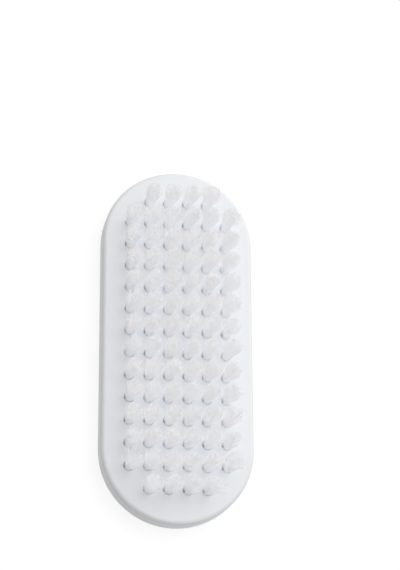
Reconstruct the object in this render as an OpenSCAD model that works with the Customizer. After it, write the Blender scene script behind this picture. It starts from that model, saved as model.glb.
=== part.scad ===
// Nail brush: a moulded plastic base with rows of nylon tufts, each held in its
// hole by a flat wire anchor. It lies on its back, with the bristles up.
// X runs across the brush, Y along it and Z up. The origin is the middle of the
// flat back.

/* [Base] */
// Width of the base across its straight sides
base_w = 38; // [34:0.5:50]
// Length of the base over its two round ends
base_l = 90.5; // [86:0.5:110]
// Thickness of the base, from its back to the tufted face
base_t = 6; // [5.5:0.25:12]
// Radius of the rounded edge round the tufted face
face_edge_r = 1.0; // [0.4:0.1:2]
// Radius of the rounded edge round the back
back_edge_r = 0.8; // [0.3:0.1:2]

/* [Tuft holes] */
// Diameter of a tuft hole
hole_d = 2.5; // [2.4:0.05:2.9]
// Depth of a tuft hole below the tufted face
hole_depth = 4.2; // [3.6:0.1:4.8]
// Width of the bevel at the mouth of a tuft hole
mouth_bevel = 0.1; // [0.05:0.05:0.3]
// Distance between neighbouring holes in a row
tuft_pitch = 4.85; // [4.4:0.05:5.4]
// Distance between neighbouring rows
row_pitch = 5.65; // [4.8:0.05:5.8]
// Least distance from the middle of a hole to the rim of the base
rim_margin = 5.85; // [4.5:0.05:7]
// Number of tufts that the first and the last row have to have room for
end_row_tufts = 4; // [2:1:4]

/* [Tufts] */
// Height of the trimmed tips above the tufted face
bristle_h = 9.5; // [6:0.5:16]
// Gap between a folded bundle and the wall of its hole
bundle_gap = 0.1; // [0.05:0.05:0.2]
// Depth below the tufted face at which the bundle parts into its strands
strand_start = 0.5; // [0.2:0.1:1]
// Number of strands round the middle one of a tuft
outer_strands = 5; // [4:1:5]
// Radius of a strand where it leaves the bundle
strand_root_r = 0.36; // [0.2:0.02:0.38]
// Radius of a strand at its trimmed tip
strand_tip_r = 0.52; // [0.3:0.02:0.6]
// Distance from the tuft's axis to its outer strands, at the face
strand_ring_r = 0.74; // [0.7:0.02:0.78]
// How much farther out the tips of the outer strands stand
splay = 0.85; // [0.2:0.05:0.95]

/* [Anchors] */
// Thickness of the anchor wire
anchor_t = 0.35; // [0.25:0.05:0.5]
// Height of the anchor wire, measured down the hole
anchor_h = 1.6; // [1.2:0.1:2]
// How far each end of an anchor cuts into the wall of the hole
anchor_bite = 0.2; // [0.1:0.05:0.3]
// Thickness of the folded filaments under the anchor
fold_t = 0.7; // [0.4:0.05:1]
// Angle of the anchors to the rows, in degrees
anchor_turn = 10; // [0:5:60]

/* [Hidden] */
// Gap between an anchor and the filaments and plastic that grip it
grip_gap = 0.01;
// How far a cut runs past the face that it opens
overrun = 0.5;
// How far a strand reaches down into the bundle that it is fused to
strand_root_len = 0.8;
// Straight steps in each quarter of a rounded edge
edge_steps = 6;
// Smoothness of the true round shapes
$fn = 48;

end_r = base_w / 2;
straight_l = base_l - base_w;
hole_r = hole_d / 2;
bundle_r = hole_r - bundle_gap;
hole_floor_z = base_t - hole_depth;
anchor_z = hole_floor_z + fold_t;
anchor_len = hole_d + 2 * anchor_bite;
strand_root_z = base_t - strand_start - strand_root_len;
strand_tip_z = base_t + bristle_h;

// How far along a strand each of its three rings lies, from root to tip
ring_shares = [0, 0.5, 1];
// Corners of a strand, in its cross-section
strand_sides = 3;
full_turn = 360;
quarter_turn = 90;
// Turn of the strands from one tuft to the next, in degrees
tuft_turn = 77;

base_colour = [0.93, 0.94, 0.95];
tuft_colour = [0.86, 0.86, 0.84];
anchor_colour = [0.72, 0.73, 0.74];

function two_digits(n) = str(n < 10 ? "0" : "", n);
function tuft_node(row) = str("tuft_row_", two_digits(row + 1));
function anchor_node(row) = str("anchor_row_", two_digits(row + 1));

// The tufts fill the outline of the base, less the margin. The rows go as far
// towards the round ends as the end rows have room for their tufts.
field_r = end_r - rim_margin;
end_row_reach = (end_row_tufts - 1) / 2 * tuft_pitch;
field_half_l = straight_l / 2 + sqrt(field_r * field_r - end_row_reach * end_row_reach);
row_count = floor(2 * field_half_l / row_pitch) + 1;
full_row_tufts = floor(2 * field_r / tuft_pitch) + 1;
rows = [0 : row_count - 1];

function row_y(row) = (row - (row_count - 1) / 2) * row_pitch;
// Half the width that the tufts may fill at a row
function row_reach(row) =
    let (into_end = max(0, abs(row_y(row)) - straight_l / 2))
    sqrt(field_r * field_r - into_end * into_end);
// A row that a full row's tufts don't fit in loses one at each side, or two, and so on
function tufts_in(row) =
    let (too_wide = (full_row_tufts - 1) / 2 * tuft_pitch - row_reach(row))
    full_row_tufts - 2 * max(0, ceil(too_wide / tuft_pitch));
function tuft_x(row, i) = (i - (tufts_in(row) - 1) / 2) * tuft_pitch;
function tuft_place(row, i) = [tuft_x(row, i), row_y(row), 0];
// How far a tuft's strands are turned, so that neighbours don't look alike
function strands_turn(row, i) = (row * full_row_tufts + i) * tuft_turn;

// Points of a quarter circle round a centre, from one angle to the next
function arc(centre, r, from) = [
    for (i = [0 : edge_steps])
        let (a = from + quarter_turn * i / edge_steps)
        centre + r * [cos(a), sin(a)]
];

// Outline of the base from its middle to its rim: back edge, side, face edge
base_outline = concat(
    [[0, 0]],
    arc([end_r - back_edge_r, back_edge_r], back_edge_r, -quarter_turn),
    arc([end_r - face_edge_r, base_t - face_edge_r], face_edge_r, 0),
    [[0, base_t]]
);

module round_end() {
    rotate_extrude(angle = full_turn / 2)
        polygon(base_outline);
}

module straight_half() {
    rotate([quarter_turn, 0, 0])
        linear_extrude(height = straight_l, center = true)
            polygon(base_outline);
}

module base_body() {
    union() {
        straight_half();
        mirror([1, 0, 0])
            straight_half();
        translate([0, straight_l / 2, 0])
            round_end();
        translate([0, -straight_l / 2, 0])
            mirror([0, 1, 0])
                round_end();
    }
}

// The bore of a hole, its bevelled mouth and the slots that the anchor's ends cut
module tuft_hole() {
    translate([0, 0, hole_floor_z])
        cylinder(r = hole_r, h = hole_depth + overrun);
    translate([0, 0, base_t - mouth_bevel])
        cylinder(r1 = hole_r, r2 = hole_r + mouth_bevel + overrun, h = mouth_bevel + overrun);
    anchor_slot(anchor_z - grip_gap, base_t + overrun);
}

// A slot as wide as the anchor with its gap, from one height to another
module anchor_slot(from_z, to_z) {
    translate([0, 0, (from_z + to_z) / 2])
        rotate([0, 0, anchor_turn])
            cube([anchor_len + 2 * grip_gap, anchor_t + 2 * grip_gap, to_z - from_z], center = true);
}

module base() {
    color(base_colour)
        difference() {
            base_body();
            for (row = rows)
                for (i = [0 : tufts_in(row) - 1])
                    translate(tuft_place(row, i))
                        tuft_hole();
        }
}

// Distance of a strand's middle from the tuft's axis, a share s of the way up
function strand_offset(s) = strand_ring_r + splay * s * s;
function strand_r(s) = strand_root_r + (strand_tip_r - strand_root_r) * s;
function strand_z(s) = strand_root_z + (strand_tip_z - strand_root_z) * s;

// Corners of one ring of a strand, with a flat side towards the tuft's axis
function strand_ring(offset, s) = [
    for (k = [0 : strand_sides - 1])
        let (a = full_turn * k / strand_sides)
        [offset + strand_r(s) * cos(a), strand_r(s) * sin(a), strand_z(s)]
];

// Two triangles between each pair of neighbouring corners of two rings
function ring_band(low) = [
    for (k = [0 : strand_sides - 1])
        let (next = (k + 1) % strand_sides)
        let (a = low + k, b = low + next, c = b + strand_sides, d = a + strand_sides)
        each [[a, c, b], [a, d, c]]
];

// A strand of filaments, whose offset is a list with one distance for each ring
module strand(offsets) {
    last = len(ring_shares) - 1;
    polyhedron(
        points = [for (i = [0 : last]) each strand_ring(offsets[i], ring_shares[i])],
        faces = concat(
            [[for (k = [0 : strand_sides - 1]) k]],
            [for (i = [0 : last - 1]) each ring_band(i * strand_sides)],
            [[for (k = [strand_sides - 1 : -1 : 0]) last * strand_sides + k]]
        )
    );
}

// One bundle: its folded root in the hole, with a slot for the anchor, and its strands
module tuft(turn) {
    difference() {
        translate([0, 0, hole_floor_z])
            cylinder(r = bundle_r, h = hole_depth - strand_start);
        anchor_slot(anchor_z - grip_gap, anchor_z + anchor_h + grip_gap);
    }
    rotate([0, 0, turn])
        strand([for (s = ring_shares) 0]);
    for (k = [0 : outer_strands - 1])
        rotate([0, 0, turn + full_turn * k / outer_strands])
            strand([for (s = ring_shares) strand_offset(s)]);
}

module tuft_row(row) {
    color(tuft_colour)
        for (i = [0 : tufts_in(row) - 1])
            translate(tuft_place(row, i))
                tuft(strands_turn(row, i));
}

module anchor() {
    translate([0, 0, anchor_z + anchor_h / 2])
        rotate([0, 0, anchor_turn])
            cube([anchor_len, anchor_t, anchor_h], center = true);
}

module anchor_row(row) {
    color(anchor_colour)
        for (i = [0 : tufts_in(row) - 1])
            translate(tuft_place(row, i))
                anchor();
}

base();
for (row = rows) {
    tuft_row(row);
    anchor_row(row);
}
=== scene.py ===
"""A nail brush: a moulded white base and rows of nylon tufts, folded round wire anchors.

The brush lies on its flat back. X runs across it, Y along it and Z up, in metres, and
the origin is the middle of the back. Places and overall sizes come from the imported
frame, and the sizes that a user would change stand in the property groups.
"""

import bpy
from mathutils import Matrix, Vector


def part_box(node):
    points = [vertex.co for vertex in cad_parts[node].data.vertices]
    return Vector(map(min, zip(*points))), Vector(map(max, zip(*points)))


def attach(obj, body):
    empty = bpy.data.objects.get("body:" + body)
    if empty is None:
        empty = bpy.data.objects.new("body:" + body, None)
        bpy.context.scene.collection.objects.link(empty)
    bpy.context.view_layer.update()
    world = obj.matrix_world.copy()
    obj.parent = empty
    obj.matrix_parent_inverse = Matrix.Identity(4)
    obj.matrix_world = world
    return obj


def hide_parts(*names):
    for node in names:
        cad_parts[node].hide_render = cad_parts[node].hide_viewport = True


bl_info = {
    "name": "Nail brush",
    "version": (1, 0, 0),
    "blender": (4, 5, 0),
    "location": "3D View > Sidebar > Nail brush",
    "description": "Makes a white nail brush with nylon tufts, and a plain stage to show it on",
    "category": "Add Mesh",
}

import bpy
import numpy as np
from mathutils import Matrix, Vector

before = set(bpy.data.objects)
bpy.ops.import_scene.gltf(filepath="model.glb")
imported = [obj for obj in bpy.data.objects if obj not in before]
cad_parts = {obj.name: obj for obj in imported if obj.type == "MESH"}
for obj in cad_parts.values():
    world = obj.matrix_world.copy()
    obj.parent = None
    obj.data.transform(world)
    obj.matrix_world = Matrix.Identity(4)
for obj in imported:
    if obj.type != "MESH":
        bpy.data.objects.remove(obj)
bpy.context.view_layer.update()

MM = 0.001
BODY = "root"
FULL_TURN = 2 * np.pi
QUARTER_TURN = np.pi / 2
# The angle from one seed of a sunflower to the next, which fills a disc evenly
SUNFLOWER_TURN = np.pi * (3 - np.sqrt(5))
# Sockets of a Mix node that mixes colours: its share, its two colours and its result
MIX_SHARE = 0
MIX_FIRST = 6
MIX_SECOND = 7
MIX_RESULT = 2

TUFT_NODES = sorted(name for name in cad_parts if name.startswith("tuft_row_"))
ANCHOR_NODES = sorted(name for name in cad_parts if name.startswith("anchor_row_"))

BASE_LOW, BASE_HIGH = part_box("base")
END_R = (BASE_HIGH.x - BASE_LOW.x) / 2
STRAIGHT_HALF = (BASE_HIGH.y - BASE_LOW.y) / 2 - END_R
FACE_Z = BASE_HIGH.z
HOLE_FLOOR_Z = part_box(TUFT_NODES[0])[0].z
TIP_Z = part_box(TUFT_NODES[0])[1].z
ANCHOR_LOW_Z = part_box(ANCHOR_NODES[0])[0].z
ANCHOR_HIGH_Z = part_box(ANCHOR_NODES[0])[1].z


def linear(hex_colour):
    """The linear RGBA of an sRGB hex colour such as "#E8EBEF".

    A channel c up to 0.04045 becomes c / 12.92, and a brighter one
    ((c + 0.055) / 1.055)^2.4.
    """
    srgb = np.array([int(hex_colour[i : i + 2], 16) for i in (1, 3, 5)]) / 255
    channels = np.where(srgb <= 0.04045, srgb / 12.92, ((srgb + 0.055) / 1.055) ** 2.4)
    return (*channels.tolist(), 1.0)


def row_w(anchor_node):
    """Width of a row of anchors, from the first one's outer end to the last one's."""
    low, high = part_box(anchor_node)
    return high.x - low.x


# The rows of full width have one tuft more at each side than the first and the last row
WIDEST = max(row_w(name) for name in ANCHOR_NODES)
NARROWEST = min(row_w(name) for name in ANCHOR_NODES)
TUFT_PITCH = (WIDEST - NARROWEST) / 2


def tuft_places(anchor_node):
    """Where the tufts of a row stand, (n, 2).

    An anchor is narrower than the pitch, so a row of n anchors is between n - 1 and n
    pitches wide. The tufts stand evenly to both sides of the middle.
    """
    low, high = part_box(anchor_node)
    count = int(row_w(anchor_node) / TUFT_PITCH) + 1
    x = (np.arange(count) - (count - 1) / 2) * TUFT_PITCH
    return np.stack([x, np.full(count, (low.y + high.y) / 2)], axis=1)


ROWS = [tuft_places(name) for name in ANCHOR_NODES]
ROW_PITCH = (ROWS[-1][0, 1] - ROWS[0][0, 1]) / (len(ROWS) - 1)


class BaseSizes(bpy.types.PropertyGroup):
    """Sizes of the moulded base that the frame doesn't give."""

    face_edge_r: bpy.props.FloatProperty(
        name="Face edge radius",
        description="Radius of the rounded edge round the tufted face",
        default=1.0 * MM,
        min=0.2 * MM,
        unit="LENGTH",
    )
    back_edge_r: bpy.props.FloatProperty(
        name="Back edge radius",
        description="Radius of the rounded edge round the back",
        default=0.8 * MM,
        min=0.2 * MM,
        unit="LENGTH",
    )
    hole_r: bpy.props.FloatProperty(
        name="Hole radius",
        description="Radius of a tuft hole",
        default=1.25 * MM,
        min=1.0 * MM,
        unit="LENGTH",
    )
    mouth_r: bpy.props.FloatProperty(
        name="Mouth radius",
        description="Radius of the rounded mouth of a tuft hole",
        default=0.1 * MM,
        min=0.02 * MM,
        unit="LENGTH",
    )
    slot_depth: bpy.props.FloatProperty(
        name="Slot depth",
        description="Depth of the slots that the ends of an anchor cut in the wall of its hole",
        default=0.21 * MM,
        min=0.0,
        unit="LENGTH",
    )
    slot_w: bpy.props.FloatProperty(
        name="Slot width",
        description="Width of the slots that the ends of an anchor cut",
        default=0.37 * MM,
        min=0.1 * MM,
        unit="LENGTH",
    )
    anchor_angle: bpy.props.FloatProperty(
        name="Anchor angle",
        description="Angle of the anchors to the rows of tufts",
        default=np.radians(10),
        subtype="ANGLE",
    )


class BristleSizes(bpy.types.PropertyGroup):
    """Number, thickness and spread of the nylon filaments."""

    filaments: bpy.props.IntProperty(
        name="Filaments",
        description="Filament ends in each tuft, two for each folded filament",
        default=240,
        min=8,
    )
    filament_r: bpy.props.FloatProperty(
        name="Filament radius",
        description="Radius of one nylon filament",
        default=0.06 * MM,
        min=0.02 * MM,
        unit="LENGTH",
    )
    bundle_r: bpy.props.FloatProperty(
        name="Bundle radius",
        description="Radius of a bundle where it leaves its hole",
        default=1.16 * MM,
        min=0.3 * MM,
        unit="LENGTH",
    )
    parting: bpy.props.FloatProperty(
        name="Parting",
        description="How far in a bundle's two halves part at an anchor's ends, as a share",
        default=0.29,
        min=0.0,
        max=0.6,
        subtype="FACTOR",
    )
    splay_r: bpy.props.FloatProperty(
        name="Splay radius",
        description="Radius that the trimmed tips of a tuft fan out to",
        default=2.26 * MM,
        min=0.3 * MM,
        unit="LENGTH",
    )
    lean: bpy.props.FloatProperty(
        name="Lean",
        description="How far the tips of a whole tuft may stand off its axis",
        default=0.25 * MM,
        min=0.0,
        unit="LENGTH",
    )
    clumping: bpy.props.FloatProperty(
        name="Clumping",
        description="How strongly the tips of a tuft may draw together in locks",
        default=0.1,
        min=0.0,
        max=1.0,
        subtype="FACTOR",
    )
    seed: bpy.props.IntProperty(
        name="Seed",
        description="Seed of the random spread of the filaments",
        default=7,
    )


class Finishes(bpy.types.PropertyGroup):
    """Colours of the brush and the stage."""

    plastic: bpy.props.FloatVectorProperty(
        name="Plastic",
        description="Colour of the moulded base",
        default=linear("#E2E5E8"),
        size=4,
        min=0.0,
        max=1.0,
        subtype="COLOR",
    )
    # Painted shade: the tips are painted greyer, to even out the extra light that they catch
    painted_tip_shade: bpy.props.FloatVectorProperty(
        name="Nylon tip",
        description="Colour of the filaments at their trimmed tips",
        default=linear("#F2F2F3"),
        size=4,
        min=0.0,
        max=1.0,
        subtype="COLOR",
    )
    nylon_pale: bpy.props.FloatVectorProperty(
        name="Pale nylon",
        description="Colour of the palest filaments",
        default=linear("#FEFEFF"),
        size=4,
        min=0.0,
        max=1.0,
        subtype="COLOR",
    )
    nylon_grey: bpy.props.FloatVectorProperty(
        name="Grey nylon",
        description="Colour of the greyest filaments",
        default=linear("#F6F7FA"),
        size=4,
        min=0.0,
        max=1.0,
        subtype="COLOR",
    )
    anchor_metal: bpy.props.FloatVectorProperty(
        name="Anchor metal",
        description="Colour of the anchor wire",
        default=linear("#B9BBBC"),
        size=4,
        min=0.0,
        max=1.0,
        subtype="COLOR",
    )
    floor: bpy.props.FloatVectorProperty(
        name="Floor",
        description="Colour of the floor",
        default=linear("#CCCCCC"),
        size=4,
        min=0.0,
        max=1.0,
        subtype="COLOR",
    )


class StageSettings(bpy.types.PropertyGroup):
    """Camera and light, as the photographed brush is seen."""

    camera_place: bpy.props.FloatVectorProperty(
        name="Camera place",
        description="Where the camera stands",
        default=(-68.9 * MM, -113.77 * MM, 403.72 * MM),
        subtype="TRANSLATION",
        unit="LENGTH",
    )
    camera_target: bpy.props.FloatVectorProperty(
        name="Camera target",
        description="The point of the tufted face that the camera looks at",
        default=(5.657 * MM, 15.492 * MM, 5.886 * MM),
        subtype="TRANSLATION",
        unit="LENGTH",
    )
    camera_roll: bpy.props.FloatProperty(
        name="Camera roll",
        description="Turn of the camera about the way it looks",
        default=np.radians(31.27),
        subtype="ANGLE",
    )
    lens: bpy.props.FloatProperty(
        name="Lens",
        description="Focal length in millimetres on a sensor whose long side is 36 mm",
        default=106.8,
        min=10.0,
    )
    sun_strength: bpy.props.FloatProperty(
        name="Sun strength",
        description="Strength of the soft key light",
        default=1.49,
        min=0.0,
    )
    sun_colour: bpy.props.FloatVectorProperty(
        name="Sun colour",
        description="Colour of the soft key light, a little warmer than the room",
        default=(1.0, 0.985, 0.96),
        min=0.0,
        max=1.0,
        subtype="COLOR",
    )
    sun_from: bpy.props.FloatVectorProperty(
        name="Sun direction",
        description="The direction that the key light comes from",
        default=(0.7, 0.64, 1.0),
        subtype="DIRECTION",
    )
    sun_spread: bpy.props.FloatProperty(
        name="Sun spread",
        description="Angle that the soft key light fills",
        default=np.radians(60),
        subtype="ANGLE",
    )
    sky_strength: bpy.props.FloatProperty(
        name="Sky strength",
        description="Strength of the light from all round",
        default=0.436,
        min=0.0,
    )
    sky_rise: bpy.props.FloatVectorProperty(
        name="Sky rise",
        description="Added share of the room's light from straight right, far and overhead",
        default=(0.33, 0.3, 0.66),
        subtype="XYZ",
    )


def add_node(tree, kind, inputs=None, **settings):
    """Adds a node with its settings. Each input is a value, or the socket linked to it."""
    made = tree.nodes.new(kind)
    for name, value in settings.items():
        setattr(made, name, value)
    for name, value in (inputs or {}).items():
        if isinstance(value, bpy.types.NodeSocket):
            tree.links.new(value, made.inputs[name])
        else:
            made.inputs[name].default_value = value
    return made


def new_material(name):
    """A material with an empty node tree and its output node."""
    material = bpy.data.materials.new(name)
    material.use_nodes = True
    tree = material.node_tree
    tree.nodes.clear()
    return material, tree, add_node(tree, "ShaderNodeOutputMaterial")


def seen_ray(tree):
    """1 for a ray that shows a surface to the camera, and 0 for one that only lights.

    The camera sees a surface straight, mirrored, or through something clear.
    """
    ray = add_node(tree, "ShaderNodeLightPath")
    seen = add_node(
        tree,
        "ShaderNodeMath",
        {0: ray.outputs["Is Camera Ray"], 1: ray.outputs["Is Glossy Ray"]},
        operation="MAXIMUM",
    )
    seen_through = add_node(
        tree,
        "ShaderNodeMath",
        {0: seen.outputs["Value"], 1: ray.outputs["Is Transmission Ray"]},
        operation="MAXIMUM",
    )
    return seen_through.outputs["Value"]


def moulded_plastic(colours):
    """White injection-moulded ABS.

    It is opaque and slightly cool, with the soft gloss of a satin mould: highlights
    are broad, and a very shallow orange peel keeps them from being even.
    """
    shade_grain = 9 * MM
    shade_share = 0.965
    peel_grain = 0.9 * MM
    peel_depth = 0.02 * MM
    mould_grain = 0.14 * MM
    mould_depth = 0.006 * MM
    material, tree, output = new_material("moulded_white_abs")
    place = add_node(tree, "ShaderNodeTexCoord").outputs["Object"]
    shades, peel, mould = [
        add_node(
            tree,
            "ShaderNodeTexNoise",
            {"Vector": place, "Scale": 1 / grain, "Detail": 2.0},
        ).outputs["Fac"]
        for grain in (shade_grain, peel_grain, mould_grain)
    ]
    pale = Vector(colours.plastic)
    shade = pale * shade_share
    shade[3] = 1.0
    colour = add_node(
        tree,
        "ShaderNodeMix",
        {MIX_SHARE: shades, MIX_FIRST: shade, MIX_SECOND: pale},
        data_type="RGBA",
    )
    roughness = add_node(
        tree,
        "ShaderNodeMapRange",
        {"Value": peel, "To Min": 0.30, "To Max": 0.40},
    )
    mould_bump = add_node(
        tree,
        "ShaderNodeBump",
        {"Height": mould, "Strength": 0.25, "Distance": mould_depth},
    )
    peel_bump = add_node(
        tree,
        "ShaderNodeBump",
        {
            "Height": peel,
            "Strength": 0.5,
            "Distance": peel_depth,
            "Normal": mould_bump.outputs["Normal"],
        },
    )
    plastic = add_node(
        tree,
        "ShaderNodeBsdfPrincipled",
        {
            "Base Color": colour.outputs[MIX_RESULT],
            "Roughness": roughness.outputs["Result"],
            "IOR": 1.54,
            "Normal": peel_bump.outputs["Normal"],
        },
    )
    tree.links.new(plastic.outputs["BSDF"], output.inputs["Surface"])
    return material


def drawn_nylon(colours):
    """Drawn nylon filament, natural white.

    Each filament is smooth and lets most of the light on it through, so a tuft looks
    milky and casts only a faint shadow. Some filaments are greyer than others. All are
    painted a little greyer towards the trimmed tip: a painted shade that evens out the
    extra light that the tips catch at the top of the tuft.
    """
    # Share of a lamp's light that passes each surface of a filament, and at its root
    light_through = 0.981
    light_through_root = 0.987
    # How far up the root reaches, and where the painted tip shade starts, by height
    root_share = 0.15
    tip_shade_from_share = 0.5
    material, tree, output = new_material("drawn_nylon_filament")
    tint = add_node(tree, "ShaderNodeAttribute", attribute_name="tint").outputs["Fac"]
    height = add_node(tree, "ShaderNodeAttribute", attribute_name="height_share").outputs["Fac"]
    own = add_node(
        tree,
        "ShaderNodeMix",
        {MIX_SHARE: tint, MIX_FIRST: colours.nylon_grey, MIX_SECOND: colours.nylon_pale},
        data_type="RGBA",
    )
    # Painted shade: greyer towards the tip, against the extra light that falls on the tips
    to_tip_shade = add_node(
        tree,
        "ShaderNodeMapRange",
        {"Value": height, "From Min": tip_shade_from_share, "From Max": 1.0},
    )
    along = add_node(
        tree,
        "ShaderNodeMix",
        {
            MIX_SHARE: to_tip_shade.outputs["Result"],
            MIX_FIRST: own.outputs[MIX_RESULT],
            MIX_SECOND: colours.painted_tip_shade,
        },
        data_type="RGBA",
    )
    nylon = add_node(
        tree,
        "ShaderNodeBsdfPrincipled",
        {
            "Base Color": along.outputs[MIX_RESULT],
            "Roughness": 0.5,
            "IOR": 1.53,
            "Sheen Weight": 0.5,
            "Subsurface Weight": 1.0,
            "Subsurface Radius": (1.0, 1.0, 1.0),
            "Subsurface Scale": 0.4 * MM,
        },
    )
    ray = add_node(tree, "ShaderNodeLightPath")
    let_through = add_node(
        tree,
        "ShaderNodeMapRange",
        {
            "Value": height,
            "From Max": root_share,
            "To Min": light_through_root,
            "To Max": light_through,
        },
    )
    to_lamps = add_node(
        tree,
        "ShaderNodeMath",
        {0: ray.outputs["Is Shadow Ray"], 1: let_through.outputs["Result"]},
        operation="MULTIPLY",
    )
    clear = add_node(tree, "ShaderNodeBsdfTransparent")
    both = add_node(
        tree,
        "ShaderNodeMixShader",
        {0: to_lamps.outputs["Value"], 1: nylon.outputs["BSDF"], 2: clear.outputs["BSDF"]},
    )
    tree.links.new(both.outputs["Shader"], output.inputs["Surface"])
    return material


def drawn_wire(colours):
    """Flat drawn steel wire: a bright metal with fine level streaks along the wire."""
    streak_w = 0.05 * MM
    stretch = 0.1
    material, tree, output = new_material("drawn_steel_wire")
    place = add_node(tree, "ShaderNodeTexCoord").outputs["Object"]
    stretched = add_node(
        tree,
        "ShaderNodeMapping",
        {"Vector": place, "Scale": (stretch, stretch, 1.0)},
    )
    streaks = add_node(
        tree,
        "ShaderNodeTexNoise",
        {"Vector": stretched.outputs["Vector"], "Scale": 1 / streak_w, "Detail": 2.0},
    )
    roughness = add_node(
        tree,
        "ShaderNodeMapRange",
        {"Value": streaks.outputs["Fac"], "To Min": 0.22, "To Max": 0.42},
    )
    metal = add_node(
        tree,
        "ShaderNodeBsdfPrincipled",
        {
            "Base Color": colours.anchor_metal,
            "Metallic": 1.0,
            "Roughness": roughness.outputs["Result"],
        },
    )
    tree.links.new(metal.outputs["BSDF"], output.inputs["Surface"])
    return material


def white_floor(colours):
    """Matt white paper. The camera sees it lifted to plain white, with a light shadow.

    To the camera it glows, and keeps a share of its own colour, on which the shadow
    falls. To the light that strikes the brush it is plain paper.
    """
    lift_strength = 0.83
    lit_share = 0.36
    material, tree, output = new_material("white_paper")
    seen = seen_ray(tree)
    strength = add_node(
        tree,
        "ShaderNodeMath",
        {0: seen, 1: lift_strength},
        operation="MULTIPLY",
    )
    lit = Vector(colours.floor) * lit_share
    lit[3] = 1.0
    colour = add_node(
        tree,
        "ShaderNodeMix",
        {MIX_SHARE: seen, MIX_FIRST: colours.floor, MIX_SECOND: lit},
        data_type="RGBA",
    )
    paper = add_node(tree, "ShaderNodeBsdfDiffuse", {"Color": colour.outputs[MIX_RESULT]})
    lift = add_node(tree, "ShaderNodeEmission", {"Strength": strength.outputs["Value"]})
    both = add_node(
        tree,
        "ShaderNodeAddShader",
        {0: paper.outputs["BSDF"], 1: lift.outputs["Emission"]},
    )
    tree.links.new(both.outputs["Shader"], output.inputs["Surface"])
    return material


def mesh_object(name, points, faces, material):
    """A smooth-shaded object at the origin whose place is in its points, (n, 3)."""
    sharp_angle = np.radians(50)
    mesh = bpy.data.meshes.new(name)
    mesh.from_pydata(points.tolist(), [], faces)
    mesh.shade_smooth()
    mesh.set_sharp_from_angle(angle=sharp_angle)
    mesh.materials.append(material)
    made = bpy.data.objects.new(name, mesh)
    bpy.context.scene.collection.objects.link(made)
    return made


def ring_quads(rings, around):
    """Quads between each pair of neighbouring rings of closed loops, (rings - 1) * around.

    Corner k of ring j is point j * around + k. Loops run anticlockwise seen from above,
    and each ring lies inside or above the one after it, so the quads face outwards.
    """
    ring_starts = np.arange(rings - 1)[:, None] * around
    corner = np.arange(around)
    low = (ring_starts + corner).ravel()
    next_low = (ring_starts + (corner + 1) % around).ravel()
    return np.stack([low, low + around, next_low + around, next_low], axis=1)


def cell_edge(steps):
    """The edge of the square from -1 to 1, anticlockwise from its low corner.

    Each of its sides has as many points as steps, evenly spaced, so they are (4 * steps, 2).
    """
    run = np.linspace(-1, 1, steps, endpoint=False)
    one = np.ones(steps)
    return np.concatenate(
        [
            np.stack([run, -one], axis=1),
            np.stack([one, run], axis=1),
            np.stack([-run, one], axis=1),
            np.stack([-one, -run], axis=1),
        ]
    )


def arc_shares(steps):
    """Quarter-circle rounding from a face to a wall, as shares of its radius.

    Row i is (1 - sin a, 1 - cos a): how far the point still is from the wall, and how far
    it has dropped below the face.
    """
    a = np.linspace(0, QUARTER_TURN, steps + 1)
    return np.stack([1 - np.sin(a), 1 - np.cos(a)], axis=1)


def hole_cell(sizes, steps):
    """One cell of the tufted face round a hole: rings of points (rings, 4 * steps, 3).

    The rings run from the cell's oblong edge over the flat face to the hole, round its
    mouth and down its wall. Two slots widen the rings where the anchor is. Above it the
    plastic has sprung back, and only a faint score is left. On the face, a ring's points
    lie a share of the way from the hole's rim to the cell's edge. In the hole, they lie
    at a radius that depends on their angle only.
    """
    # Rings on the flat face, by how far they still are from the hole
    face_shares = (1.0, 0.55, 0.25, 0.08)
    mouth_steps = 4
    # How much of the slot's depth the score keeps, and how wide it opens to each side
    score_share = 0.4
    slot_half_share = 0.55
    # Heights above the anchor at which the score ends and the slot begins
    score_gap = 0.4 * MM
    slot_gap = 0.02 * MM
    edge = cell_edge(steps) * (TUFT_PITCH / 2, ROW_PITCH / 2)
    angle = np.arctan2(edge[:, 1], edge[:, 0])
    out = np.stack([np.cos(angle), np.sin(angle)], axis=1)
    off_slot = np.abs(np.sin(angle - sizes.anchor_angle)) * sizes.hole_r
    in_slot = off_slot < slot_half_share * sizes.slot_w
    slot_depth = np.where(in_slot, sizes.slot_depth, 0.0)
    scored_r = sizes.hole_r + slot_depth * score_share
    slotted_r = sizes.hole_r + slot_depth
    rim = out * (scored_r + sizes.mouth_r)[:, None]
    flat = [rim + share * (edge - rim) for share in face_shares]
    mouth = arc_shares(mouth_steps)
    round_mouth = [out * (scored_r + sizes.mouth_r * inward)[:, None] for inward in mouth[:, 0]]
    wall = [out * wall_r[:, None] for wall_r in (scored_r, slotted_r, slotted_r)]
    heights = np.concatenate(
        [
            np.full(len(flat), FACE_Z),
            FACE_Z - sizes.mouth_r * mouth[:, 1],
            [ANCHOR_HIGH_Z + score_gap, ANCHOR_HIGH_Z + slot_gap, HOLE_FLOOR_Z],
        ]
    )
    across = np.stack(flat + round_mouth + wall)
    up = np.broadcast_to(heights[:, None, None], (*across.shape[:2], 1))
    return np.concatenate([across, up], axis=2)


def field_corners():
    """Corners of the outline of all the cells together, anticlockwise from the near right.

    Up the right side, each row adds the two ends of its outermost cell's side, and down
    the left side the same points follow mirrored.
    """
    half_w = np.array([len(row) * TUFT_PITCH / 2 for row in ROWS])
    middle_y = np.array([row[0, 1] for row in ROWS])
    low = np.stack([half_w, middle_y - ROW_PITCH / 2], axis=1)
    high = np.stack([half_w, middle_y + ROW_PITCH / 2], axis=1)
    right = np.stack([low, high], axis=1).reshape(-1, 2)
    return np.concatenate([right, right[::-1] * (-1, 1)])


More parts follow.
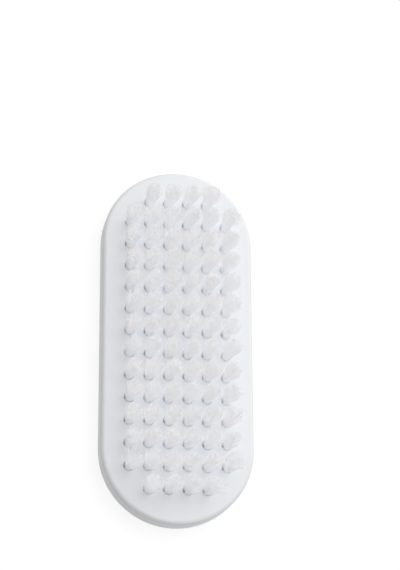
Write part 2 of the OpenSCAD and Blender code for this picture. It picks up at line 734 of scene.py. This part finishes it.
def field_loop(steps):
    """The outline of all the cells, with as many points on it as the cells' edges have."""
    corners = field_corners()
    points = []
    for start, end in zip(corners, np.roll(corners, -1, axis=0)):
        span = np.abs(end - start)
        count = int(round(steps * (span[0] / TUFT_PITCH + span[1] / ROW_PITCH)))
        share = np.arange(count)[:, None] / max(count, 1)
        points.append(start + share * (end - start))
    return np.concatenate(points)


def rim_rings(sizes, loop):
    """Rings of points (rings, around, 3) from the tufted field out over the rim to the back.

    A point of the outline is c + (end radius - inset) * d, where c is the nearest point of
    the straight line between the two end centres and d points from c through the loop.
    """
    # Rings on the flat margin, by how far out they are from the loop to the rounded edge
    margin_shares = (0.0, 0.3, 0.6, 0.85, 0.96)
    face_edge_steps = 12
    back_edge_steps = 8
    side_heights = 5
    back_margin = 1 * MM
    face_edge = arc_shares(face_edge_steps)
    back_edge = arc_shares(back_edge_steps)[::-1]
    middle_y = np.clip(loop[:, 1], -STRAIGHT_HALF, STRAIGHT_HALF)
    centre = np.stack([np.zeros(len(loop)), middle_y], axis=1)
    out = loop - centre
    out /= np.linalg.norm(out, axis=1, keepdims=True)
    edge_start = centre + (END_R - sizes.face_edge_r) * out
    margin = [loop + share * (edge_start - loop) for share in margin_shares]
    side_z = np.linspace(FACE_Z - sizes.face_edge_r, sizes.back_edge_r, side_heights)[1:-1]
    back_inset = sizes.back_edge_r + back_margin
    insets = np.concatenate(
        [
            sizes.face_edge_r * face_edge[:, 0],
            np.zeros(len(side_z)),
            sizes.back_edge_r * back_edge[:, 0],
            [back_inset],
        ]
    )
    heights = np.concatenate(
        [
            np.full(len(margin), FACE_Z),
            FACE_Z - sizes.face_edge_r * face_edge[:, 1],
            side_z,
            sizes.back_edge_r * back_edge[:, 1],
            [0.0],
        ]
    )
    outline = [centre + (END_R - inset) * out for inset in insets]
    across = np.stack(margin + outline)
    up = np.broadcast_to(heights[:, None, None], (*across.shape[:2], 1))
    return np.concatenate([across, up], axis=2)


def welded(points, quads, polygons):
    """Points that lie together made one.

    Returns the points and the faces, with the longer polygons after the quads.
    """
    weld_gap = 1e-4 * MM
    keys = np.round(points / weld_gap).astype(np.int64)
    _, first, same = np.unique(keys, axis=0, return_index=True, return_inverse=True)
    same = same.ravel()
    return points[first], same[quads].tolist() + [same[polygon].tolist() for polygon in polygons]


def base_surface(sizes):
    """The whole base: a cell for each hole, and the rim round all of them."""
    steps = 16
    cell = hole_cell(sizes, steps)
    rings, around = cell.shape[:2]
    places = np.concatenate(ROWS)
    shifts = np.concatenate([places, np.zeros((len(places), 1))], axis=1)
    cells = (cell.reshape(1, -1, 3) + shifts[:, None, :]).reshape(-1, 3)
    cell_starts = np.arange(len(places)) * rings * around
    inward = ring_quads(rings, around)[:, ::-1]
    cell_quads = (inward[None] + cell_starts[:, None, None]).reshape(-1, 4)
    floor = np.arange(around) + (rings - 1) * around
    floors = [floor + start for start in cell_starts]
    rim = rim_rings(sizes, field_loop(steps))
    rim_start = len(cells)
    rim_quads = ring_quads(rim.shape[0], rim.shape[1]) + rim_start
    back = (np.arange(rim.shape[1]) + rim_start + (rim.shape[0] - 1) * rim.shape[1])[::-1]
    points = np.concatenate([cells, rim.reshape(-1, 3)])
    return welded(points, np.concatenate([cell_quads, rim_quads]), [*floors, back])


def disc_spread(count):
    """Points that fill a unit disc evenly, (count, 2).

    Point i lies at radius sqrt((i + 1/2) / count), and each is turned from the one
    before it by the sunflower angle.
    """
    i = np.arange(count)
    radius = np.sqrt((i + 0.5) / count)
    angle = i * SUNFLOWER_TURN
    return radius[:, None] * np.stack([np.cos(angle), np.sin(angle)], axis=1)


def turned(across, angle):
    """Points (..., 2) turned by an angle about the origin."""
    cos, sin = np.cos(angle), np.sin(angle)
    x, y = across[..., 0], across[..., 1]
    return np.stack([x * cos - y * sin, x * sin + y * cos], axis=-1)


def drawn_to_locks(tips, lock_centres, pull):
    """Tips (n, 2) moved a share of the way to the nearest lock's centre."""
    apart = np.linalg.norm(tips[:, None] - lock_centres[None], axis=2)
    nearest = lock_centres[apart.argmin(axis=1)]
    return tips + pull[:, None] * (nearest - tips)


# A filament is too thin for its four flat sides to show. Its rings above the face stand at
# these shares of its free length
FILAMENT_SIDES = 4
FREE_SHARES = np.array([0.0, 0.25, 0.5, 0.75, 1.0])
# Locks that are bent out of their tufts, by row from the near end and tuft from the left,
# both from 0: the number of filaments, where their tips stand about the tuft's axis, and
# how high above the face, in millimetres
BENT_LOCKS = {
    (0, 3): [(4, (3.8, -1.5), 7.6), (5, (3.3, 0.4), 8.4)],
    (1, 5): [(4, (2.5, -1.3), 8.4)],
    (1, 0): [(26, (-1.6, 2.3), 9.3), (32, (-0.1, 3.0), 9.3), (29, (1.5, 2.7), 9.3)],
    (12, 5): [(5, (3.0, -0.6), 8.6)],
    (13, 2): [(5, (2.9, 0.4), 8.2)],
    (13, 3): [(6, (3.2, -0.3), 8.5)],
}


def fanned_tips(sizes, spread, fan, random):
    """Places of one tuft's tips about its axis, (n, 2), for its places on the unit disc.

    They fill a disc of the fan's radius, with some scatter. They are drawn towards the
    middles of some locks, a few stray, and all are shifted as one.
    """
    scatter = 0.22 * MM
    fewest_locks = 6
    most_locks = 8
    # Most tufts hardly clump, and a few clump as strongly as the setting allows
    clumping_power = 1.5
    pull_scatter = 0.08
    strongest_pull = 0.9
    stray_share = 0.04
    stray_scatter = 0.5 * MM
    count = len(spread)
    tips = spread * fan + random.normal(0, scatter, (count, 2))
    lock_count = random.integers(fewest_locks, most_locks + 1)
    lock_centres = turned(disc_spread(lock_count), random.uniform(0, FULL_TURN)) * fan
    clumping = sizes.clumping * random.uniform(0, 1) ** clumping_power
    pull = np.clip(random.normal(clumping, pull_scatter, count), 0, strongest_pull)
    tips = drawn_to_locks(tips, lock_centres, pull)
    strays = random.uniform(0, 1, count) < stray_share
    tips += np.where(strays[:, None], random.normal(0, stray_scatter, (count, 2)), 0)
    tips += turned(np.array([sizes.lean, 0]), random.uniform(0, FULL_TURN)) * random.uniform(0, 1)
    return tips


def parted_mouth(sizes, spread, anchor_angle, random):
    """Where one tuft's filaments leave the mouth of their hole, (n, 2).

    They fill a disc, which is notched where its two halves part at the ends of the anchor.
    A place at u along the anchor and v across it, as shares of the disc's radius, moves
    to u * (1 - parting * exp(-(v / w)^2)), where w is the notch's width.
    """
    notch_w_share = 0.28
    least_share = 0.5
    most_share = 1.3
    parting = sizes.parting * random.uniform(least_share, most_share)
    parted = turned(spread, -anchor_angle)
    parted[:, 0] *= 1 - parting * np.exp(-((parted[:, 1] / notch_w_share) ** 2))
    return turned(parted, anchor_angle) * sizes.bundle_r


def free_ends(sizes, anchor_angle, locks, random):
    """Where one tuft's filaments leave their hole and end, about the tuft's axis.

    The tips are trimmed nearly level: one at a share r of the fan's radius stands
    outer_drop * r^2 lower, and each is a little short. A bent lock takes filaments that
    lie far out on its own side. Returns the places in the mouth, the places of the tips,
    their heights and the bends.
    """
    least_fan_share = 0.88
    most_fan_share = 1.08
    outer_drop = 0.3 * MM
    trim_scatter = 0.25 * MM
    bend_of_all = 1.25
    bend_of_locks = 1.9
    lock_scatter = 0.3 * MM
    count = sizes.filaments
    spread = turned(disc_spread(count), random.uniform(0, FULL_TURN))
    fan = sizes.splay_r * random.uniform(least_fan_share, most_fan_share)
    tips = fanned_tips(sizes, spread, fan, random)
    out_share = np.linalg.norm(tips, axis=1) / fan
    tip_z = TIP_Z - outer_drop * out_share**2 - random.uniform(0, trim_scatter, count)
    bend = np.full(count, bend_of_all)
    taken = 0
    for number, place, height in locks:
        chosen = np.argsort(-spread @ place)[taken : taken + number]
        taken += number
        tips[chosen] = np.array(place) * MM + random.normal(0, lock_scatter, (number, 2))
        tip_z[chosen] = FACE_Z + height * MM + random.normal(0, lock_scatter, number)
        bend[chosen] = bend_of_locks
    mouth = parted_mouth(sizes, spread, anchor_angle, random)
    return mouth, tips, np.minimum(tip_z, TIP_Z), bend


def held_lines(sizes, base_sizes, mouth):
    """Middle lines of one tuft's filaments inside their hole, (n, 4, 3).

    Each starts in the fold under the anchor, the lower the farther out it lies across the
    anchor, runs out from under it and rises beside it, clear of its side.
    """
    # Height that a filament and a little air take up in the fold, in filament radii
    fold_clearance = 2.2
    fold_out_share = 0.85
    fold_rise = 0.12 * MM
    # Heights above the anchor's two sides at which the filaments run straight up
    above_low = 0.2 * MM
    above_high = 0.1 * MM
    count = len(mouth)
    by_anchor = turned(mouth, -base_sizes.anchor_angle)
    side = np.where(by_anchor[:, 1] < 0, -1.0, 1.0)
    beside = np.maximum(np.abs(by_anchor[:, 1]), base_sizes.slot_w / 2 + sizes.filament_r)
    room = np.sqrt(np.maximum(sizes.bundle_r**2 - beside**2, 0))
    along = np.clip(by_anchor[:, 0], -room, room)
    depth_share = beside / sizes.bundle_r
    fold_room = ANCHOR_LOW_Z - HOLE_FLOOR_Z - fold_clearance * sizes.filament_r
    fold_z = ANCHOR_LOW_Z - sizes.filament_r - depth_share * fold_room
    across = side * beside
    rings = [
        (0 * beside, fold_z),
        (across * fold_out_share, fold_z + fold_rise * depth_share),
        (across, np.full(count, ANCHOR_LOW_Z + above_low)),
        (across, np.full(count, ANCHOR_HIGH_Z + above_high)),
    ]
    lines = np.stack([np.stack([along, out, up], axis=1) for out, up in rings], axis=1)
    lines[..., :2] = turned(lines[..., :2], base_sizes.anchor_angle)
    return lines


def tuft_filaments(sizes, base_sizes, locks, random):
    """Middle lines of the filaments of one tuft about its own axis, (n, rings, 3).

    Each is held in the hole, leaves it in an even bundle and fans out: at a share s of
    the free length it is s^bend of the way from its place in the mouth to its tip. A
    shallow sine, which grows towards the tip, makes it wavy.
    """
    wave_size = 0.05 * MM
    wave_turn = 5
    mouth, tips, tip_z, bend = free_ends(sizes, base_sizes.anchor_angle, locks, random)
    count = len(mouth)
    share = FREE_SHARES[None, :, None]
    across = mouth[:, None] + (tips - mouth)[:, None] * share ** bend[:, None, None]
    wave_way = random.normal(0, wave_size, (count, 1, 2))
    wave_start = random.uniform(0, FULL_TURN, (count, 1, 1))
    across += wave_way * np.sin(share * wave_turn + wave_start) * share
    up = FACE_Z + (tip_z - FACE_Z)[:, None, None] * share
    free = np.concatenate([across, up], axis=2)
    return np.concatenate([held_lines(sizes, base_sizes, mouth), free], axis=1)


def tube_surface(lines, radius, sides):
    """Tubes with a few flat sides along middle lines (n, rings, 3): their points and faces.

    Each ring lies across the line's direction t, on the unit vectors a = t x r and
    b = t x a, where r is the level axis that is farther from the line's own direction.
    """
    count, rings = lines.shape[:2]
    along = np.gradient(lines, axis=1)
    along /= np.linalg.norm(along, axis=2, keepdims=True)
    reach = np.abs(lines[:, -1] - lines[:, 0])
    level = np.where((reach[:, 0] > reach[:, 1])[:, None], (0.0, 1.0, 0.0), (1.0, 0.0, 0.0))
    first = np.cross(along, level[:, None, :])
    first /= np.linalg.norm(first, axis=2, keepdims=True)
    second = np.cross(along, first)
    angle = np.arange(sides) * FULL_TURN / sides
    cos, sin = np.cos(angle)[:, None], np.sin(angle)[:, None]
    wheel = first[:, :, None] * cos + second[:, :, None] * sin
    points = (lines[:, :, None] + radius * wheel).reshape(-1, 3)
    starts = np.arange(count) * rings * sides
    quads = ring_quads(rings, sides)[:, ::-1][None] + starts[:, None, None]
    root_cap = (np.arange(sides)[::-1])[None] + starts[:, None]
    tip_cap = (np.arange(sides) + (rings - 1) * sides)[None] + starts[:, None]
    return points, quads.reshape(-1, 4).tolist() + root_cap.tolist() + tip_cap.tolist()


def set_point_attribute(piece, name, values):
    """Stores one number for each point, for the material to read."""
    attribute = piece.data.attributes.new(name, "FLOAT", "POINT")
    attribute.data.foreach_set("value", values.astype(np.float32).ravel())


def tuft_row(row, name, sizes, base_sizes, random, material):
    """One row of tufts as one piece, with a tint and a height share on each point."""
    tufts = []
    for i, (x, y) in enumerate(ROWS[row]):
        lines = tuft_filaments(sizes, base_sizes, BENT_LOCKS.get((row, i), []), random)
        lines[..., 0] += x
        lines[..., 1] += y
        tufts.append(lines)
    lines = np.concatenate(tufts)
    points, faces = tube_surface(lines, sizes.filament_r, FILAMENT_SIDES)
    piece = mesh_object(name, points, faces, material)
    tint = np.repeat(random.uniform(0, 1, len(lines)), lines.shape[1] * FILAMENT_SIDES)
    set_point_attribute(piece, "tint", tint)
    height_share = np.clip((points[:, 2] - FACE_Z) / (TIP_Z - FACE_Z), 0, 1)
    set_point_attribute(piece, "height_share", height_share)
    return piece


class NAILBRUSH_OT_stage(bpy.types.Operator):
    """Makes the floor, the light and the camera"""

    bl_idname = "nailbrush.stage"
    bl_label = "Make the stage"

    def execute(self, context):
        scene = context.scene
        settings = scene.nailbrush_stage
        self.make_floor(scene.nailbrush_finishes)
        self.make_light(scene, settings)
        self.make_camera(scene, settings)
        scene.view_settings.view_transform = "Standard"
        # Light goes through many filaments and from one to the next before it leaves a tuft
        scene.cycles.transparent_max_bounces = 96
        scene.cycles.diffuse_bounces = 12
        return {"FINISHED"}

    def make_floor(self, colours):
        """A level square under the brush, a hair below its back."""
        half_w = 1.5
        gap = 0.02 * MM
        corners = cell_edge(1) * half_w
        points = np.concatenate([corners, np.full((len(corners), 1), -gap)], axis=1)
        floor = mesh_object("floor", points, [list(range(len(corners)))], white_floor(colours))

    def make_light(self, scene, settings):
        """A soft key light from the far right, in a room that is lit mostly from overhead.

        The room's light from a direction d is its strength * (1 + rise . d). The camera
        sees the room as plain white.
        """
        lamp = bpy.data.lights.new("key_light", "SUN")
        lamp.energy = settings.sun_strength
        lamp.color = settings.sun_colour
        lamp.angle = settings.sun_spread
        key = bpy.data.objects.new("key_light", lamp)
        key.rotation_mode = "QUATERNION"
        key.rotation_quaternion = Vector(settings.sun_from).to_track_quat("Z", "Y")
        scene.collection.objects.link(key)
        world = bpy.data.worlds.new("white_room")
        world.use_nodes = True
        tree = world.node_tree
        tree.nodes.clear()
        way = add_node(tree, "ShaderNodeTexCoord").outputs["Generated"]
        added = add_node(
            tree,
            "ShaderNodeVectorMath",
            {0: way, 1: settings.sky_rise},
            operation="DOT_PRODUCT",
        )
        lit = add_node(
            tree,
            "ShaderNodeMath",
            {0: added.outputs["Value"], 1: settings.sky_strength, 2: settings.sky_strength},
            operation="MULTIPLY_ADD",
        )
        strength = add_node(
            tree,
            "ShaderNodeMapRange",
            {"Value": seen_ray(tree), "To Min": lit.outputs["Value"], "To Max": 1.0},
        )
        white = add_node(
            tree,
            "ShaderNodeBackground",
            {"Color": (1.0, 1.0, 1.0, 1.0), "Strength": strength.outputs["Result"]},
        )
        output = add_node(tree, "ShaderNodeOutputWorld")
        tree.links.new(white.outputs["Background"], output.inputs["Surface"])
        scene.world = world

    def make_camera(self, scene, settings):
        """Stands at its place, looks at its target and is rolled about that line."""
        data = bpy.data.cameras.new("camera")
        data.sensor_fit = "AUTO"
        data.sensor_width = 36.0
        data.lens = settings.lens
        data.clip_start = 0.01
        data.clip_end = 10.0
        place = Vector(settings.camera_place)
        look = Vector(settings.camera_target) - place
        aim = look.to_track_quat("-Z", "Y").to_matrix().to_4x4()
        roll = Matrix.Rotation(settings.camera_roll, 4, "Z")
        camera = bpy.data.objects.new("camera", data)
        camera.matrix_world = Matrix.Translation(place) @ aim @ roll
        scene.collection.objects.link(camera)
        scene.camera = camera


class NAILBRUSH_OT_base(bpy.types.Operator):
    """Makes the moulded base with its tuft holes"""

    bl_idname = "nailbrush.base"
    bl_label = "Make the base"

    def execute(self, context):
        points, faces = base_surface(context.scene.nailbrush_base)
        material = moulded_plastic(context.scene.nailbrush_finishes)
        piece = mesh_object("base_moulding", points, faces, material)
        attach(piece, BODY)
        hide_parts("base")
        return {"FINISHED"}


class NAILBRUSH_OT_tufts(bpy.types.Operator):
    """Makes the rows of nylon tufts"""

    bl_idname = "nailbrush.tufts"
    bl_label = "Make the tufts"

    def execute(self, context):
        scene = context.scene
        sizes = scene.nailbrush_bristles
        material = drawn_nylon(scene.nailbrush_finishes)
        random = np.random.default_rng(sizes.seed)
        for row, node_name in enumerate(TUFT_NODES):
            piece = tuft_row(
                row,
                node_name + "_filaments",
                sizes,
                scene.nailbrush_base,
                random,
                material,
            )
            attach(piece, BODY)
            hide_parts(node_name)
        return {"FINISHED"}


class NAILBRUSH_OT_anchors(bpy.types.Operator):
    """Gives the wire anchors their metal"""

    bl_idname = "nailbrush.anchors"
    bl_label = "Finish the anchors"

    def execute(self, context):
        metal = drawn_wire(context.scene.nailbrush_finishes)
        for name in ANCHOR_NODES:
            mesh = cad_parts[name].data
            mesh.materials.clear()
            mesh.materials.append(metal)
        return {"FINISHED"}


class NAILBRUSH_PT_panel(bpy.types.Panel):
    """Lists the steps that make the brush"""

    bl_label = "Nail brush"
    bl_idname = "NAILBRUSH_PT_panel"
    bl_space_type = "VIEW_3D"
    bl_region_type = "UI"
    bl_category = "Nail brush"

    def draw(self, context):
        for operator in OPERATORS:
            self.layout.operator(operator.bl_idname)


PROPERTY_GROUPS = {
    "nailbrush_base": BaseSizes,
    "nailbrush_bristles": BristleSizes,
    "nailbrush_finishes": Finishes,
    "nailbrush_stage": StageSettings,
}
OPERATORS = (
    NAILBRUSH_OT_stage,
    NAILBRUSH_OT_base,
    NAILBRUSH_OT_tufts,
    NAILBRUSH_OT_anchors,
)
CLASSES = (*PROPERTY_GROUPS.values(), *OPERATORS, NAILBRUSH_PT_panel)


def register():
    for each in CLASSES:
        bpy.utils.register_class(each)
    for name, group in PROPERTY_GROUPS.items():
        setattr(bpy.types.Scene, name, bpy.props.PointerProperty(type=group))


def unregister():
    for name in PROPERTY_GROUPS:
        delattr(bpy.types.Scene, name)
    for each in reversed(CLASSES):
        bpy.utils.unregister_class(each)


def main():
    register()
    bpy.ops.nailbrush.stage()
    bpy.ops.nailbrush.base()
    bpy.ops.nailbrush.tufts()
    bpy.ops.nailbrush.anchors()


if __name__ == "__main__":
    main()
